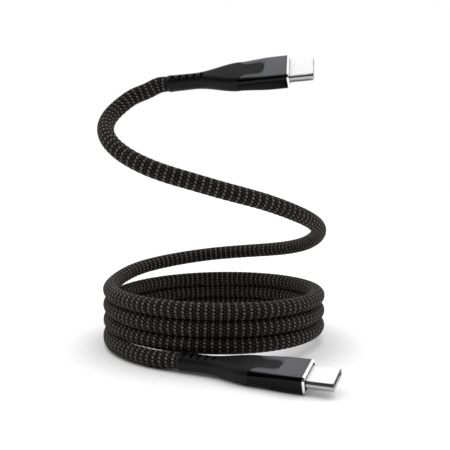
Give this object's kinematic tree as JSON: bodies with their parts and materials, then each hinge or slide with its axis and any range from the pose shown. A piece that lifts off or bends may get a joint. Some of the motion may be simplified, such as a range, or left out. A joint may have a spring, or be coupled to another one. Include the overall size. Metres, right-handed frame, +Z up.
{
  "type": "charging cable",
  "caption": "Braided charging cable with a reversible metal plug and flared rubber strain relief at each end, standing in its own round coil.",
  "frame": {"origin": "on the surface that the cable stands on, under the middle of the box around its two plugs", "axes": "+Z up, from the lower plug to the upper plug; +X to the right, the side both plugs point to; -Y towards the viewer, on whose side the lower plug lies in front of the coil"},
  "size_m": [0.0689, 0.0907, 0.0843],
  "materials": {
    "braid": "braided nylon sleeve, matte",
    "boot_rubber": "fine matte elastomer",
    "anodised_grey": "satin anodised, polished edge",
    "plug_steel": "bright polished steel",
    "spring_steel": "bare stamped spring steel",
    "black_plastic": "fine satin moulded",
    "gold_contacts": "gold-plated",
    "circuit_board": "solder mask",
    "ceramic_block": "sintered",
    "chip_epoxy": "moulded epoxy",
    "clear_mould": "cloudy moulded",
    "inner_jacket": "smooth extruded",
    "red_insulation": "extruded",
    "black_insulation": "extruded",
    "blue_insulation": "extruded",
    "green_insulation": "extruded",
    "white_insulation": "extruded"
  },
  "bodies": {
    "cable": {"lower_shell": "plug_steel", "lower_contact_carrier": "black_plastic", "lower_contacts_top": "gold_contacts", "lower_contacts_bottom": "gold_contacts", "lower_ground_spring_top": "spring_steel", "lower_ground_spring_bottom": "spring_steel", "lower_latch_plate": "spring_steel", "lower_paddle_card": "circuit_board", "lower_capacitor": "ceramic_block", "lower_marker_chip": "chip_epoxy", "lower_inner_mould": "clear_mould", "lower_shield_can": "spring_steel", "lower_crimp_ferrule": "spring_steel", "lower_jacket_end": "inner_jacket", "lower_housing": "anodised_grey", "lower_nose_plate": "black_plastic", "lower_boot": "boot_rubber", "lower_power_wire": "red_insulation", "lower_ground_wire": "black_insulation", "lower_config_wire": "blue_insulation", "lower_data_plus_wire": "green_insulation", "lower_data_minus_wire": "white_insulation", "upper_shell": "plug_steel", "upper_contact_carrier": "black_plastic", "upper_contacts_top": "gold_contacts", "upper_contacts_bottom": "gold_contacts", "upper_ground_spring_top": "spring_steel", "upper_ground_spring_bottom": "spring_steel", "upper_latch_plate": "spring_steel", "upper_paddle_card": "circuit_board", "upper_capacitor": "ceramic_block", "upper_inner_mould": "clear_mould", "upper_shield_can": "spring_steel", "upper_crimp_ferrule": "spring_steel", "upper_jacket_end": "inner_jacket", "upper_housing": "anodised_grey", "upper_nose_plate": "black_plastic", "upper_boot": "boot_rubber", "upper_power_wire": "red_insulation", "upper_ground_wire": "black_insulation", "upper_config_wire": "blue_insulation", "upper_data_plus_wire": "green_insulation", "upper_data_minus_wire": "white_insulation", "cord_coil": "braid", "cord_lead_in": "braid", "cord_rising_turn": "braid"},
    "lower_latch_left_arm": {"lower_latch_arm_left": "spring_steel"},
    "lower_latch_right_arm": {"lower_latch_arm_right": "spring_steel"},
    "upper_latch_left_arm": {"upper_latch_arm_left": "spring_steel"},
    "upper_latch_right_arm": {"upper_latch_arm_right": "spring_steel"}
  },
  "joints": [
    {"name": "lower_latch_left", "type": "hinge", "parent": "cable", "child": "lower_latch_left_arm", "pos_m": [0.0147, -0.0141, 0.00415], "axis": [-0.1204, -0.2203, 0.968], "range_deg": [0, 2.2], "stiffness_Nm_per_rad": 0.3},
    {"name": "lower_latch_right", "type": "hinge", "parent": "cable", "child": "lower_latch_right_arm", "pos_m": [0.01211, -0.01988, 0.00251], "axis": [0.1204, 0.2203, -0.968], "range_deg": [0, 2.2], "stiffness_Nm_per_rad": 0.3},
    {"name": "upper_latch_left", "type": "hinge", "parent": "cable", "child": "upper_latch_left_arm", "pos_m": [0.01129, 0.01686, 0.08194], "axis": [-0.2021, -0.7227, 0.6609], "range_deg": [0, 2.2], "stiffness_Nm_per_rad": 0.3},
    {"name": "upper_latch_right", "type": "hinge", "parent": "cable", "child": "upper_latch_right_arm", "pos_m": [0.01073, 0.01254, 0.07705], "axis": [0.2021, 0.7227, -0.6609], "range_deg": [0, 2.2], "stiffness_Nm_per_rad": 0.3}
  ]
}
